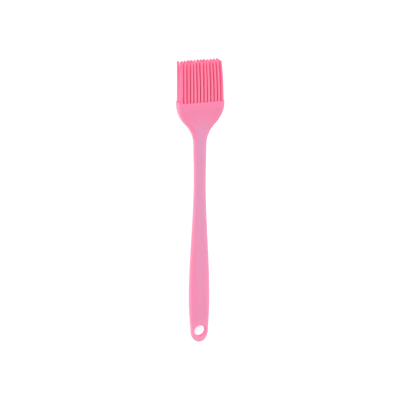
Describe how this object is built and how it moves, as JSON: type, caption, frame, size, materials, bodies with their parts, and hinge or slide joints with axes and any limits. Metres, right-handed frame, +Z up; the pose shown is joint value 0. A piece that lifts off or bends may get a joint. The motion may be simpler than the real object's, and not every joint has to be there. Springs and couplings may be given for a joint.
{
  "type": "pastry brush",
  "caption": "Flat pastry brush: an overmoulded handle with a flared cup and a hanging eye, and a block of moulded bristles in rows that bend together.",
  "frame": {"origin": "on the surface that the brush lies on, under the middle of its bounding box", "axes": "+Y along the brush from the hanging eye to the bristle tips, +X across the head, +Z up through its thickness"},
  "size_m": [0.034, 0.21, 0.012],
  "materials": {
    "sleeve_silicone": "satin, slightly translucent",
    "comb_silicone": "satin, slightly translucent",
    "bristle_silicone": "satin, slightly translucent",
    "core_steel": "matt, hidden inside"
  },
  "bodies": {
    "handle": {"handle_sleeve": "sleeve_silicone", "core_strip": "core_steel", "comb_bar_1": "comb_silicone", "comb_bar_2": "comb_silicone", "comb_bar_3": "comb_silicone", "comb_bar_4": "comb_silicone"},
    "row_1": {"bristle_row_1": "bristle_silicone"},
    "row_2": {"bristle_row_2": "bristle_silicone"},
    "row_3": {"bristle_row_3": "bristle_silicone"},
    "row_4": {"bristle_row_4": "bristle_silicone"}
  },
  "joints": [
    {"name": "bristle_flex_1", "type": "hinge", "parent": "handle", "child": "row_1", "pos_m": [0, 0.07662, 0.00994], "axis": [1, 0, 0], "range_deg": [-40, 40], "stiffness_Nm_per_rad": 0.004},
    {"name": "bristle_flex_2", "type": "hinge", "parent": "handle", "child": "row_2", "pos_m": [0, 0.07662, 0.00731], "axis": [1, 0, 0], "range_deg": [-40, 40], "stiffness_Nm_per_rad": 0.004},
    {"name": "bristle_flex_3", "type": "hinge", "parent": "handle", "child": "row_3", "pos_m": [0, 0.07662, 0.00469], "axis": [1, 0, 0], "range_deg": [-40, 40], "stiffness_Nm_per_rad": 0.004},
    {"name": "bristle_flex_4", "type": "hinge", "parent": "handle", "child": "row_4", "pos_m": [0, 0.07662, 0.00206], "axis": [1, 0, 0], "range_deg": [-40, 40], "stiffness_Nm_per_rad": 0.004}
  ],
  "couplings": [
    {"joint": "bristle_flex_2", "follows": "bristle_flex_1", "ratio": 1},
    {"joint": "bristle_flex_3", "follows": "bristle_flex_1", "ratio": 1},
    {"joint": "bristle_flex_4", "follows": "bristle_flex_1", "ratio": 1}
  ]
}
